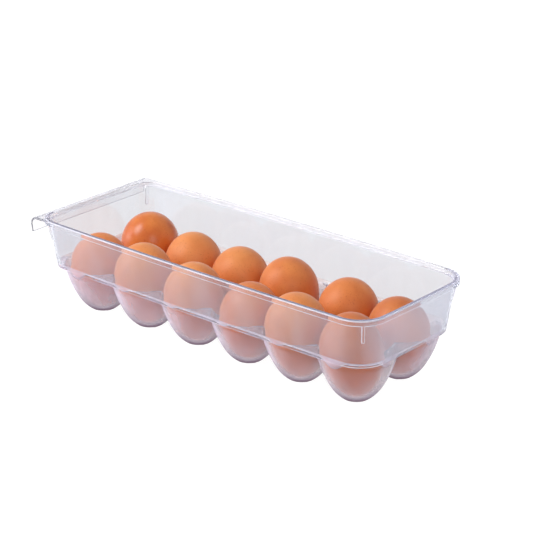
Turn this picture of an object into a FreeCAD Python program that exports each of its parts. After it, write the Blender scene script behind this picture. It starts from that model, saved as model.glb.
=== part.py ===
"""Egg holder tray: a clear moulded bin with twelve cups, a pull lip at one end and a dozen loose eggs.

Millimetres, +Z up.  The tray stands on its cup feet at Z = 0, its long sides run along X, and the pull
lip is at the -X end.  The origin is under the middle of the whole length.  The moulding is divided into
touching solids along its own features (cups, wall runs, corners, pull lip, nesting ribs).
"""
import FreeCAD
import Part
import Sketcher
import math
import os
import re

from FreeCAD import Placement, Rotation, Vector

# ---------------------------------------------------------------- driving dimensions
SIZES = {
    "rim_length": 319.0,         # outer length of the rim, pull lip left out
    "rim_width": 122.0,          # outer width of the rim at its ends
    "total_height": 75.6,        # feet to rim top
    "skin": 1.6,                 # moulded wall thickness
    "cup_pitch": 50.0,
    "deck_level": 36.5,          # underside of the deck that carries the cup mouths
    "side_bow": 2.5,             # outward bow of a long side at the rim
    "side_bow_deck": 2.1,        # the same at the deck
    "end_bow": 1.0,              # outward bow of an end wall
    "corner_front_end": 20.5,    # plan radius of the two corners away from the pull lip
    "corner_lip_end": 16.5,      # plan radius of the two corners beside the pull lip
    "flange_reach": 1.8,         # how far the rim flange stands out of the wall
    "flange_depth": 4.0,         # how deep the rim flange is
    "deck_inset_x": 5.5,         # rim edge to wall foot, at the ends
    "deck_inset_y": 7.1,         # rim edge to wall foot, at the sides
    "foot_radius": 8.2,
    "foot_share": 0.3,           # how much the foot narrows inside, as a share of the skin
    "knee_radius": 18.6,         # cup radius where its two arcs meet
    "knee_height": 10.0,
    "mouth_radius": 28.9,
    "mouth_share": 0.82,         # how much the mouth narrows inside, as a share of the skin
    "lower_arc": 31.0,           # radius of the arc from foot to knee
    "upper_arc": 78.0,           # radius of the arc from knee to mouth
    "knee_slope": 32.0,          # degrees from vertical of the cup wall at the knee
    "lip_reach": 7.6,            # wall face to the outermost point of the pull lip
    "lip_curl": 5.5,             # outer radius of the curl
    "lip_drop": 12.4,            # rim top to the free edge of the lip
    "lip_tuck": 9.0,             # degrees by which the hanging leg leans in under the lip
    "rib_height": 14.2,          # nesting rib, measured below the flange
    "rib_width": 2.4,
    "rib_reach": 1.7,            # how far a rib stands out of the wall at its top
    "rib_sink": 0.4,             # how far its lower outer edge is drawn in from the rim line
    "egg_width": 45.0,
    "egg_height": 59.0,
    "egg_crown": 25.4,           # widest girth to the blunt end
    "egg_gap": 0.45,             # clear space under each egg
    "egg_pivot": 8.0,            # each egg leans about a point this far above its low end
}
CUPS_PER_ROW = 6
ROWS = {"front": -1, "back": 1}  # the sign is the side of the centre line

# One entry per egg from the lip end: width scale, height scale, lean in degrees, heading of the lean.
EGGS = {
    "front": [(1.00, 0.99, 3.3, 215), (0.99, 1.07, 7.2, 222), (1.00, 1.02, 6.4, 213),
              (0.99, 0.98, 2.0, 40), (1.01, 1.07, 7.0, 215), (1.00, 1.05, 7.5, 225)],
    "back": [(1.02, 1.05, 4.1, 30), (1.00, 0.97, 1.5, 230), (1.00, 0.98, 4.6, 215),
             (1.00, 1.06, 6.5, 220), (1.01, 1.00, 3.8, 45), (1.00, 0.98, 3.8, 225)],
}

doc = FreeCAD.newDocument("egg_holder_tray")


# ---------------------------------------------------------------- spreadsheet
def build_sheet():
    """Write the driving dimensions and the sizes worked out from them."""
    sheet = doc.addObject("Spreadsheet::Sheet", "sizes")
    derived = {
        "half_length": "=rim_length / 2",
        "half_width": "=rim_width / 2",
        "deck_top": "=deck_level + skin",
        "flange_level": "=total_height - flange_depth",
        "lip_outer": "=half_length - flange_reach + lip_reach",
        "whole_length": "=lip_outer + half_length + end_bow",
        "origin_shift": "=(lip_outer - half_length - end_bow) / 2",
        "egg_root": "=egg_height - egg_crown",
    }
    rows = list(SIZES.items()) + list(derived.items())
    for row, (alias, value) in enumerate(rows, start=1):
        sheet.set(f"A{row}", alias)
        sheet.set(f"B{row}", str(value))
        sheet.setAlias(f"B{row}", alias)
    doc.recompute()
    return sheet


sheet = build_sheet()
ALIASES = {sheet.getAlias(cell) for cell in sheet.getUsedCells() if cell.startswith("B")}


def size(alias):
    """The current value of one spreadsheet cell, as a plain number."""
    return float(sheet.get(alias))


def in_sheet(expression):
    """Spell every alias in an expression as a reference to the sheet."""
    return re.sub(r"[a-z][a-z_]*[a-z]", lambda found: sheet_word(found.group()), expression)


def sheet_word(word):
    return "sizes." + word if word in ALIASES else word


# ---------------------------------------------------------------- small makers
def box(name, x, y, z):
    """A rectangular block: each span is a pair of expressions, low and high."""
    block = doc.addObject("Part::Box", name)
    for prop, axis, (low, high) in (("Length", "x", x), ("Width", "y", y), ("Height", "z", z)):
        block.setExpression(f"Placement.Base.{axis}", in_sheet(low))
        block.setExpression(prop, in_sheet(f"({high}) - ({low})"))
    return block


def combine(kind, name, shapes):
    """Several solids united (MultiFuse) or only what they share (MultiCommon)."""
    result = doc.addObject(f"Part::{kind}", name)
    result.Shapes = shapes
    return result


def cut(name, base, tool):
    result = doc.addObject("Part::Cut", name)
    result.Base = base
    result.Tool = tool
    return result


# ---------------------------------------------------------------- plan outlines and the tapered bin
def corner_centre(side_centre, side_radius, end_centre, end_radius, corner, sign_x, sign_y):
    """Centre of the arc of radius `corner` that touches a side arc and an end arc from inside."""
    reach_side = side_radius - corner
    reach_end = end_radius - corner
    between = end_centre - side_centre
    gap = between.Length
    along = (gap ** 2 + reach_side ** 2 - reach_end ** 2) / (2 * gap)
    across = math.sqrt(reach_side ** 2 - along ** 2)
    unit = between / gap
    foot = side_centre + unit * along
    normal = Vector(-unit.y, unit.x, 0)
    picks = [foot + normal * across, foot - normal * across]
    return max(picks, key=lambda point: point.x * sign_x + point.y * sign_y)


def outline(name, level, inset_x, inset_y, side_bow, shrink):
    """A closed plan outline of eight tangent arcs: bowed sides and ends with rounded corners."""
    half_x = size("half_length") - size_of(inset_x) + size("end_bow")
    half_y = size("half_width") - size_of(inset_y) + size_of(side_bow)
    side_radius = (size("half_length") ** 2 + size_of(side_bow) ** 2) / (2 * size_of(side_bow))
    end_radius = (size("half_width") ** 2 + size("end_bow") ** 2) / (2 * size("end_bow"))
    centres = {
        "right": Vector(half_x - end_radius, 0, 0),
        "back": Vector(0, half_y - side_radius, 0),
        "left": Vector(end_radius - half_x, 0, 0),
        "front": Vector(0, side_radius - half_y, 0),
    }
    run_radius = {"right": end_radius, "back": side_radius, "left": end_radius, "front": side_radius}
    corners = {
        ("right", "back"): ("corner_front_end", 1, 1),
        ("back", "left"): ("corner_lip_end", -1, 1),
        ("left", "front"): ("corner_lip_end", -1, -1),
        ("front", "right"): ("corner_front_end", 1, -1),
    }
    corner_at = {}
    for (first, second), (alias, sign_x, sign_y) in corners.items():
        side, end = (first, second) if first in ("front", "back") else (second, first)
        radius = size(alias) - size_of(shrink)
        centre = corner_centre(centres[side], run_radius[side], centres[end], run_radius[end],
                               radius, sign_x, sign_y)
        corner_at[(first, second)] = (centre, radius)

    def bearing(origin, point):
        return math.atan2(point.y - origin.y, point.x - origin.x)

    sketch = doc.addObject("Sketcher::SketchObject", name)
    sketch.setExpression("Placement.Base.z", in_sheet(level))
    order = ["right", "back", "left", "front"]
    for place, run in enumerate(order):
        following = order[(place + 1) % 4]
        before = corner_at[(order[place - 1], run)][0]
        after, radius = corner_at[(run, following)]
        run_circle = Part.Circle(centres[run], Vector(0, 0, 1), run_radius[run])
        start = bearing(centres[run], before)
        finish = bearing(centres[run], after)
        sketch.addGeometry(Part.ArcOfCircle(run_circle, start, finish), False)
        corner_circle = Part.Circle(after, Vector(0, 0, 1), radius)
        turn = bearing(centres[following], after)
        sketch.addGeometry(Part.ArcOfCircle(corner_circle, finish, turn), False)

    for arc in range(8):
        sketch.addConstraint(Sketcher.Constraint("Tangent", arc, 2, (arc + 1) % 8, 1))
    half_x_cells = f"half_length - ({inset_x}) + end_bow"
    half_y_cells = f"half_width - ({inset_y}) + {side_bow}"
    end_radius_cells = "(half_width ^ 2 + end_bow ^ 2) / (2 * end_bow)"
    side_radius_cells = f"(half_length ^ 2 + ({side_bow}) ^ 2) / (2 * ({side_bow}))"
    for place, run in enumerate(order):
        arc = 2 * place
        along_x = run in ("right", "left")
        radius_cells = end_radius_cells if along_x else side_radius_cells
        reach_cells = half_x_cells if along_x else half_y_cells
        kind = "DistanceX" if along_x else "DistanceY"
        offset = abs(centres[run].x if along_x else centres[run].y)
        sketch.addConstraint(Sketcher.Constraint("PointOnObject", arc, 3, -1 if along_x else -2))
        toward_start = run in ("right", "back")
        ends = (arc, 3, -1, 1) if toward_start else (-1, 1, arc, 3)
        named(sketch, Sketcher.Constraint(kind, *ends, offset), f"{run}_centre",
              f"({radius_cells}) - ({reach_cells})")
        named(sketch, Sketcher.Constraint("Radius", arc, run_radius[run]), f"{run}_radius", radius_cells)
        meeting = (run, order[(place + 1) % 4])
        named(sketch, Sketcher.Constraint("Radius", arc + 1, corner_at[meeting][1]), f"{run}_corner",
              f"{corners[meeting][0]} - ({shrink})")
    return sketch


def size_of(expression):
    """The value of a sum of aliases and numbers such as `deck_inset_x + skin`."""
    total = 0.0
    for term in expression.split("+"):
        term = term.strip()
        total += size(term) if term[0].isalpha() else float(term)
    return total


def named(sketch, constraint, name, expression):
    """Add a dimension, name it and bind it to the sheet."""
    index = sketch.addConstraint(constraint)
    sketch.renameConstraint(index, name)
    sketch.setExpression(f"Constraints.{name}", in_sheet(expression))


def taper(name, low, high):
    """A solid that runs straight from one outline to another."""
    loft = doc.addObject("Part::Loft", name)
    loft.Sections = [low, high]
    loft.Solid = True
    loft.Ruled = True
    return loft


def build_bin():
    """The wall ring with its flange, and the filled shapes that trim other parts."""
    wall_low = outline("wall_low", "deck_level", "deck_inset_x", "deck_inset_y", "side_bow_deck", "0")
    wall_high = outline("wall_high", "total_height", "flange_reach", "flange_reach", "side_bow", "0")
    bin_low = outline("bin_low", "deck_level", "deck_inset_x + skin", "deck_inset_y + skin",
                      "side_bow_deck", "skin")
    bin_high = outline("bin_high", "total_height", "flange_reach + skin", "flange_reach + skin",
                       "side_bow", "skin")
    rim_low = outline("rim_low", "flange_level", "0", "0", "side_bow", "0")
    rim_high = outline("rim_high", "total_height", "0", "0", "side_bow", "0")
    outer = taper("bin_outer", wall_low, wall_high)
    inner = taper("bin_inner", bin_low, bin_high)
    rim = taper("rim_block", rim_low, rim_high)
    span_x = ("-rim_length", "rim_length")
    span_y = ("-rim_width", "rim_width")
    lip_side = box("lip_side", ("-rim_length", "flange_reach - half_length"), span_y,
                   ("deck_level", "total_height"))
    rim_kept = cut("rim_kept", rim, lip_side)
    filled = combine("MultiFuse", "bin_filled", [outer, rim_kept])
    shell = cut("bin_shell", filled, inner)
    above_deck = box("above_deck", span_x, span_y, ("deck_top", "total_height"))
    ring = combine("MultiCommon", "wall_ring", [shell, above_deck])
    return {"outer": outer, "filled": filled, "ring": ring}


def wall_pieces(ring):
    """The ring divided into two side walls, two end walls and four corners."""
    left = "corner_lip_end + deck_inset_x - half_length"
    right = "half_length - deck_inset_x - corner_front_end"
    low = "-rim_width"
    high = "rim_width"
    lip_y = "half_width - deck_inset_y - corner_lip_end"
    end_y = "half_width - deck_inset_y - corner_front_end"
    far = "rim_length"
    regions = {
        "wall_front": ((left, right), (low, "0")),
        "wall_back": ((left, right), ("0", high)),
        "wall_lip_end": (("-" + far, left), ("-(" + lip_y + ")", lip_y)),
        "wall_far_end": ((right, far), ("-(" + end_y + ")", end_y)),
        "corner_front_lip": (("-" + far, left), (low, "-(" + lip_y + ")")),
        "corner_back_lip": (("-" + far, left), (lip_y, high)),
        "corner_front_far": ((right, far), (low, "-(" + end_y + ")")),
        "corner_back_far": ((right, far), (end_y, high)),
    }
    pieces = {}
    for name, (span_x, span_y) in regions.items():
        region = box(name + "_region", span_x, span_y, ("0", "total_height"))
        pieces[name] = combine("MultiCommon", name + "_solid", [ring, region])
    return pieces


# ---------------------------------------------------------------- cups
def cup_profile(body, name, thickness):
    """Half section of a cup, from the axis out: foot, lower arc, upper arc, mouth."""
    slope = "knee_slope * 1 deg"
    foot = (f"foot_radius - foot_share * {thickness}", thickness)
    knee = (f"knee_radius - {thickness} * cos({slope})", f"knee_height + {thickness} * sin({slope})")
    mouth = (f"mouth_radius - mouth_share * {thickness}", f"deck_level + {thickness}")
    sketch = body.newObject("Sketcher::SketchObject", name)
    plane = [f for f in body.Origin.OriginFeatures if f.Role == "XZ_Plane"][0]
    sketch.AttachmentSupport = [(plane, "")]
    sketch.MapMode = "FlatFace"
    skin = size("skin") if thickness == "skin" else 0.0
    lean = math.radians(size("knee_slope"))
    points = {
        "foot": Vector(size("foot_radius") - size("foot_share") * skin, skin, 0),
        "knee": Vector(size("knee_radius") - skin * math.cos(lean),
                       size("knee_height") + skin * math.sin(lean), 0),
        "mouth": Vector(size("mouth_radius") - size("mouth_share") * skin, size("deck_level") + skin, 0),
    }
    axis_low = Vector(0, points["foot"].y, 0)
    axis_high = Vector(0, points["mouth"].y, 0)
    lower = arc_between(points["foot"], points["knee"], size("lower_arc") - skin)
    upper = arc_between(points["knee"], points["mouth"], size("upper_arc") - skin)
    sketch.addGeometry([
        Part.LineSegment(axis_low, points["foot"]),
        lower,
        upper,
        Part.LineSegment(points["mouth"], axis_high),
        Part.LineSegment(axis_high, axis_low),
    ], False)
    for line in range(5):
        sketch.addConstraint(Sketcher.Constraint("Coincident", line, 2, (line + 1) % 5, 1))
    sketch.addConstraint(Sketcher.Constraint("PointOnObject", 4, 1, -2))
    sketch.addConstraint(Sketcher.Constraint("PointOnObject", 4, 2, -2))
    sketch.addConstraint(Sketcher.Constraint("Horizontal", 0))
    sketch.addConstraint(Sketcher.Constraint("Horizontal", 3))
    for place, line, (radius_cells, height_cells) in (("foot", 0, foot), ("knee", 1, knee),
                                                      ("mouth", 2, mouth)):
        point = points[place]
        named(sketch, Sketcher.Constraint("DistanceX", -1, 1, line, 2, point.x), place + "_r",
              radius_cells)
        if point.y == 0.0:
            sketch.addConstraint(Sketcher.Constraint("PointOnObject", line, 2, -1))
        else:
            named(sketch, Sketcher.Constraint("DistanceY", -1, 1, line, 2, point.y), place + "_z",
                  height_cells)
    named(sketch, Sketcher.Constraint("Radius", 1, size("lower_arc") - skin), "lower_arc",
          f"lower_arc - {thickness}")
    named(sketch, Sketcher.Constraint("Radius", 2, size("upper_arc") - skin), "upper_arc",
          f"upper_arc - {thickness}")
    return sketch


def arc_between(start, finish, radius):
    """The counter-clockwise arc of one radius from start to finish."""
    chord = finish - start
    middle = (start + finish) / 2
    normal = Vector(-chord.y, chord.x, 0) / chord.Length
    centre = middle + normal * math.sqrt(radius ** 2 - (chord.Length / 2) ** 2)
    angle_start = math.atan2(start.y - centre.y, start.x - centre.x)
    angle_finish = math.atan2(finish.y - centre.y, finish.x - centre.x)
    return Part.ArcOfCircle(Part.Circle(centre, Vector(0, 0, 1), radius), angle_start, angle_finish)


def revolved(name, thickness):
    """A body turned from the cup profile, thinner all round by `thickness`."""
    body = doc.addObject("PartDesign::Body", name)
    profile = cup_profile(body, name + "_profile", thickness)
    turn = body.newObject("PartDesign::Revolution", name + "_turn")
    turn.Profile = profile
    turn.ReferenceAxis = (profile, ["V_Axis"])
    turn.Angle = 360.0
    return body


def build_cups(bin_parts):
    """Twelve cups: each is its own cell of the deck with the bowl hanging from it."""
    bowl = revolved("bowl_outer", "0")
    cavity = revolved("bowl_inner", "skin")
    deck = box("deck_cell", ("-2 * cup_pitch", "2 * cup_pitch"), ("-2 * cup_pitch", "2 * cup_pitch"),
               ("deck_level", "deck_top"))
    solid = combine("MultiFuse", "cup_solid", [bowl, deck])
    master = cut("cup_master", solid, cavity)
    pieces = {}
    for row, sign in ROWS.items():
        for place in range(CUPS_PER_ROW):
            name = f"cup_{row}_{place + 1}"
            centre_x = f"{place - (CUPS_PER_ROW - 1) / 2} * cup_pitch"
            link = doc.addObject("App::Link", name + "_link")
            link.LinkedObject = master
            link.setExpression("Placement.Base.x", in_sheet(centre_x))
            link.setExpression("Placement.Base.y", in_sheet(f"{sign} * cup_pitch / 2"))
            low_x = "-rim_length" if place == 0 else f"{centre_x} - cup_pitch / 2"
            high_x = "rim_length" if place == CUPS_PER_ROW - 1 else f"{centre_x} + cup_pitch / 2"
            span_y = ("0", "rim_width") if sign > 0 else ("-rim_width", "0")
            cell = box(name + "_cell", (low_x, high_x), span_y, ("-skin", "deck_top"))
            pieces[name] = combine("MultiCommon", name + "_solid", [link, cell, bin_parts["plug"]])
    return pieces


def deck_plug(bin_parts):
    """Everything inside the wall's outer face, carried straight down to the feet."""
    low = outline("plug_low", "0", "deck_inset_x", "deck_inset_y", "side_bow_deck", "0")
    high = outline("plug_high", "deck_level", "deck_inset_x", "deck_inset_y", "side_bow_deck", "0")
    plug = taper("plug", low, high)
    return combine("MultiFuse", "deck_plug", [plug, bin_parts["outer"]])


# ---------------------------------------------------------------- pull lip and nesting ribs
def build_lip(bin_parts):
    """The pull lip: a J section along the whole end, trimmed where it meets the rounded corners."""
    curl = size("lip_curl")
    skin = size("skin")
    drop = size("lip_drop")
    body = doc.addObject("PartDesign::Body", "lip_body")
    sketch = body.newObject("Sketcher::SketchObject", "lip_section")
    plane = [f for f in body.Origin.OriginFeatures if f.Role == "XZ_Plane"][0]
    sketch.AttachmentSupport = [(plane, "")]
    sketch.MapMode = "FlatFace"
    root = size("corner_lip_end") + curl
    inner = curl - skin
    up = Vector(0, 0, 1)
    centre = Vector(0, 0, 0)
    quarter = math.pi / 2
    tuck = math.radians(size("lip_tuck"))
    out = Vector(-math.cos(tuck), -math.sin(tuck), 0)
    down = Vector(math.sin(tuck), -math.cos(tuck), 0)
    leg = (drop - curl + (out * curl).y) / math.cos(tuck)
    free_outer = out * curl + down * leg
    free_inner = out * inner + down * leg
    sketch.addGeometry([
        Part.LineSegment(Vector(root, curl, 0), Vector(0, curl, 0)),
        Part.ArcOfCircle(Part.Circle(centre, up, curl), quarter, 2 * quarter + tuck),
        Part.LineSegment(out * curl, free_outer),
        Part.LineSegment(free_outer, free_inner),
        Part.LineSegment(free_inner, out * inner),
        Part.ArcOfCircle(Part.Circle(centre, up, inner), quarter, 2 * quarter + tuck),
        Part.LineSegment(Vector(0, inner, 0), Vector(root, inner, 0)),
        Part.LineSegment(Vector(root, inner, 0), Vector(root, curl, 0)),
    ], False)
    joins = [(0, 2, 1, 1), (2, 1, 1, 2), (2, 2, 3, 1), (3, 2, 4, 1), (4, 2, 5, 2), (5, 1, 6, 1),
             (6, 2, 7, 1), (7, 2, 0, 1)]
    for join in joins:
        smooth = (1 in join[::2]) or (5 in join[::2])
        sketch.addConstraint(Sketcher.Constraint("Tangent" if smooth else "Coincident", *join))
    sketch.addConstraint(Sketcher.Constraint("Coincident", 1, 3, -1, 1))
    sketch.addConstraint(Sketcher.Constraint("Coincident", 5, 3, -1, 1))
    sketch.addConstraint(Sketcher.Constraint("Horizontal", 0))
    sketch.addConstraint(Sketcher.Constraint("Parallel", 2, 4))
    sketch.addConstraint(Sketcher.Constraint("Perpendicular", 2, 3))
    sketch.addConstraint(Sketcher.Constraint("Vertical", 7))
    named(sketch, Sketcher.Constraint("Angle", 2, tuck - quarter), "tuck", "(lip_tuck - 90) * 1 deg")
    named(sketch, Sketcher.Constraint("Radius", 1, curl), "curl", "lip_curl")
    named(sketch, Sketcher.Constraint("Radius", 5, inner), "curl_inside", "lip_curl - skin")
    named(sketch, Sketcher.Constraint("DistanceX", -1, 1, 7, 1, root), "root",
          "corner_lip_end + lip_curl")
    named(sketch, Sketcher.Constraint("DistanceY", 3, 1, -1, 1, drop - curl), "drop",
          "lip_drop - lip_curl")
    pad = body.newObject("PartDesign::Pad", "lip_pad")
    pad.Profile = sketch
    pad.Midplane = True
    pad.setExpression("Length", in_sheet("rim_width"))
    body.setExpression("Placement.Base.x", in_sheet("lip_curl - lip_outer"))
    body.setExpression("Placement.Base.z", in_sheet("total_height - lip_curl"))
    return cut("pull_lip_solid", body, bin_parts["filled"])


def build_ribs(bin_parts):
    """Four thin upright ribs outside the corners, under the flange, that keep stacked trays apart."""
    pieces = {}
    places = {
        "front_lip": (-1, -1, "corner_lip_end"),
        "back_lip": (-1, 1, "corner_lip_end"),
        "front_far": (1, -1, "corner_front_end"),
        "back_far": (1, 1, "corner_front_end"),
    }
    for place, (sign_x, sign_y, corner) in places.items():
        blade = doc.addObject("Part::Wedge", f"rib_{place}_blade")
        blade.Xmin = 0
        blade.Zmin = 0
        blade.Ymin = 0
        blade.X2min = 0
        blade.Z2min = 0
        heading = math.degrees(math.atan2(sign_y, sign_x))
        bind_wedge(blade, corner)
        turn = Rotation(Vector(0, 0, 1), heading).multiply(Rotation(Vector(1, 0, 0), 90))
        half = size("rib_width") / 2
        sideways = Rotation(Vector(0, 0, 1), heading).multVec(Vector(0, half, 0))
        blade.Placement = Placement(sideways, turn)
        reach_x = f"{sign_x} * (half_length - flange_reach - {corner})"
        reach_y = f"{sign_y} * (half_width - flange_reach - {corner})"
        blade.setExpression("Placement.Base.x", in_sheet(reach_x) + f" + {sideways.x}")
        blade.setExpression("Placement.Base.y", in_sheet(reach_y) + f" + {sideways.y}")
        blade.setExpression("Placement.Base.z", in_sheet("flange_level - rib_height"))
        pieces[f"nesting_rib_{place}"] = cut(f"rib_{place}_solid", blade, bin_parts["filled"])
    return pieces


def bind_wedge(blade, corner):
    """Blade length, height and width: its outer edge leans out from the wall to full reach."""
    blade.setExpression("Xmax", in_sheet(f"{corner} - rib_sink"))
    blade.setExpression("X2max", in_sheet(f"{corner} + rib_reach"))
    blade.setExpression("Ymax", in_sheet("rib_height"))
    blade.setExpression("Zmax", in_sheet("rib_width"))
    blade.setExpression("Z2max", in_sheet("rib_width"))


# ---------------------------------------------------------------- eggs
def build_egg(name, row_sign, place, width_scale, height_scale, lean, heading):
    """A hen's egg, blunt end up, that leans a little in its cup."""
    halves = []
    for half, (low, high), depth in (("crown", (0, 90), "egg_crown"), ("root", (-90, 0), "egg_root")):
        shell = doc.addObject("Part::Ellipsoid", f"{name}_{half}")
        shell.Angle1 = low
        shell.Angle2 = high
        scale = 1.0 if half == "crown" else root_scale(height_scale)
        shell.setExpression("Radius1", in_sheet(f"{depth} * {scale:.4f}"))
        shell.setExpression("Radius2", in_sheet(f"egg_width / 2 * {width_scale}"))
        shell.setExpression("Radius3", in_sheet(f"egg_width / 2 * {width_scale}"))
        halves.append(shell)
    egg = combine("MultiFuse", name + "_solid", halves)
    tilt = Rotation(Rotation(Vector(0, 0, 1), heading).multVec(Vector(0, 1, 0)), lean)
    egg.Placement = Placement(Vector(), tilt)
    rise = tilt.multVec(Vector(0, 0, 1))
    arm = f"(egg_root * {root_scale(height_scale):.4f} - egg_pivot)"
    pivot = {
        "x": f"origin_shift + {place - (CUPS_PER_ROW - 1) / 2} * cup_pitch",
        "y": f"{row_sign} * cup_pitch / 2",
        "z": "skin + egg_gap + egg_pivot",
    }
    for axis, along in zip("xyz", rise):
        egg.setExpression(f"Placement.Base.{axis}", in_sheet(f"{pivot[axis]} + {arm} * {along:.5f}"))
    return egg


def root_scale(height_scale):
    """Only the long end of an egg takes up its difference in height."""
    return (size("egg_height") * height_scale - size("egg_crown")) / size("egg_root")


def build_eggs():
    pieces = {}
    for row, sign in ROWS.items():
        for place, (width_scale, height_scale, lean, heading) in enumerate(EGGS[row]):
            name = f"egg_{row}_{place + 1}"
            pieces[name] = build_egg(name, sign, place, width_scale, height_scale, lean, heading)
    return pieces


# ---------------------------------------------------------------- assembly and export
def build_tray():
    """Every solid of the moulding, shifted so that the origin is under the middle of the whole length."""
    bin_parts = build_bin()
    bin_parts["plug"] = deck_plug(bin_parts)
    pieces = wall_pieces(bin_parts["ring"])
    pieces.update(build_cups(bin_parts))
    pieces["pull_lip"] = build_lip(bin_parts)
    pieces.update(build_ribs(bin_parts))
    for piece in pieces.values():
        piece.setExpression("Placement.Base.x", in_sheet("origin_shift"))
    return pieces


def check_document():
    """Stop on any failed object: recompute alone doesn't raise."""
    doc.recompute()
    failed = [obj.Name for obj in doc.Objects if {"Invalid", "Error"} & set(obj.State)]
    if failed:
        raise RuntimeError(f"failed objects: {failed}")


def export(pieces):
    """Label every sub-part, check its solid and write it."""
    os.makedirs("parts", exist_ok=True)
    for node, obj in pieces.items():
        obj.Label = node
        shape = obj.Shape
        if shape.isNull() or not shape.isValid() or len(shape.Solids) != 1:
            raise RuntimeError(f"{node}: bad shape, {len(shape.Solids)} solids")
        shape.exportStep(f"parts/{node}.step")
        print(f"{node}: {shape.Volume / 1000:.2f} cm3")


sub_parts = build_tray()
sub_parts.update(build_eggs())
check_document()
export(sub_parts)
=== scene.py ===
"""Looks of the clear egg tray: one moulded plastic shell with a dozen brown eggs on a white floor."""
import math

import bpy
import numpy as np
from mathutils import Matrix, Vector


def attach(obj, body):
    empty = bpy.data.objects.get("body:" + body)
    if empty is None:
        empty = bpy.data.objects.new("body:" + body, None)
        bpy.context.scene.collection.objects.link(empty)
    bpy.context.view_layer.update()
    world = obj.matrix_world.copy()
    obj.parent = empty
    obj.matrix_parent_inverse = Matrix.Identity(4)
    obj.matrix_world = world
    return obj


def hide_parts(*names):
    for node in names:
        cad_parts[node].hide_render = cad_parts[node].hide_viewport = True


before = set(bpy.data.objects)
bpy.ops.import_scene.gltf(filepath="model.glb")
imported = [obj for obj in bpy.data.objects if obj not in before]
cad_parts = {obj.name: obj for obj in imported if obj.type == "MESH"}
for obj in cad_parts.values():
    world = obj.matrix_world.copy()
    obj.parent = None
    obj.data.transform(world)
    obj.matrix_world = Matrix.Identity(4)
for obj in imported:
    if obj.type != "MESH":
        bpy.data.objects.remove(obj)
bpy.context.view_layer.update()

# ---------------------------------------------------------------- sizes, in millimetres
MM = 0.001
RIM_LENGTH = 319.0               # outer, before the ends' bow, pull lip left out
RIM_WIDTH = 122.0                # outer, before the sides' bow
TOTAL_HEIGHT = 75.6
SKIN = 1.6
PITCH = 50.0
DECK = 36.5                      # underside of the deck
SIDE_BOW = 2.5                   # how far the middle of a long side stands out, at the rim
SIDE_BOW_DECK = 2.1              # the same at the deck
END_BOW = 1.0
CORNER_FAR = 20.5                # plan radius of the corners away from the pull lip
CORNER_LIP = 16.5
FLANGE_REACH = 1.8
FLANGE_DEPTH = 4.0
DECK_INSET_X = 5.5
DECK_INSET_Y = 7.1
LIP_REACH = 7.6
LIP_CURL = 5.5
LIP_DROP = 12.4
LIP_TUCK = 9.0                   # degrees by which the hanging leg leans in
RIB_HEIGHT = 14.2
RIB_WIDTH = 2.4
RIB_REACH = 1.7
HALF_LENGTH = RIM_LENGTH / 2
HALF_WIDTH = RIM_WIDTH / 2
LIP_OUTER = HALF_LENGTH - FLANGE_REACH + LIP_REACH
ORIGIN_SHIFT = (LIP_OUTER - HALF_LENGTH - END_BOW) / 2

CUPS_PER_ROW = 6
ROWS = {"front": -1, "back": 1}

# Eggs from the lip end: width scale, height scale, lean in degrees, heading of the lean.
EGGS = {
    "front": [(1.00, 0.99, 3.3, 215), (0.99, 1.07, 7.2, 222), (1.00, 1.02, 6.4, 213),
              (0.99, 0.98, 2.0, 40), (1.01, 1.07, 7.0, 215), (1.00, 1.05, 7.5, 225)],
    "back": [(1.02, 1.05, 4.1, 30), (1.00, 0.97, 1.5, 230), (1.00, 0.98, 4.6, 215),
             (1.00, 1.06, 6.5, 220), (1.01, 1.00, 3.8, 45), (1.00, 0.98, 3.8, 225)],
}
EGG_WIDTH = 45.0
EGG_HEIGHT = 59.0
EGG_CROWN = 25.4                 # from its widest girth up to its blunt end
EGG_GAP = 0.45                   # clear of the cup's floor
EGG_PIVOT = 8.0                  # it leans about a place this far above its pointed end


# ---------------------------------------------------------------- plan outlines of the bin
class Outline:
    """A rounded rectangle with bowed runs, sampled at the same stations whatever its size."""

    def __init__(self, half_x, half_y, side_bow, end_bow, shrink=0.0):
        self.half_x = half_x
        self.half_y = half_y
        self.side_bow = side_bow
        self.end_bow = end_bow
        self.far = CORNER_FAR - shrink
        self.lip = CORNER_LIP - shrink

    def bowed(self, x, y):
        """Push a point of the plain rounded rectangle outward by the bow of its side and end."""
        along_side = 1 - (x / HALF_LENGTH) ** 2
        along_end = 1 - (y / HALF_WIDTH) ** 2
        return (x + self.end_bow * along_end * x / self.half_x,
                y + self.side_bow * along_side * y / self.half_y)


def wall_outline(level, inset=0.0):
    """The wall's outer outline at one height, moved inward by `inset`."""
    rise = (level - DECK) / (TOTAL_HEIGHT - DECK)
    inset_x = DECK_INSET_X + (FLANGE_REACH - DECK_INSET_X) * rise + inset
    inset_y = DECK_INSET_Y + (FLANGE_REACH - DECK_INSET_Y) * rise + inset
    bow = SIDE_BOW_DECK + (SIDE_BOW - SIDE_BOW_DECK) * rise
    return Outline(HALF_LENGTH - inset_x, HALF_WIDTH - inset_y, bow, END_BOW, inset)


def rim_outline(reach):
    """The outline `reach` outside the wall's top edge."""
    inset = FLANGE_REACH - reach
    return Outline(HALF_LENGTH - inset, HALF_WIDTH - inset, SIDE_BOW, END_BOW, 0.0)


DECK_OUTLINE = wall_outline(DECK)
STEP = 2.1                       # spacing of the stations round the bin
CORNER_STEPS = 18


def run(start, stop):
    """Evenly spaced station positions from start up to, but not including, stop."""
    count = max(1, round(abs(stop - start) / STEP))
    return [start + (stop - start) * k / count for k in range(count)]


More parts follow.
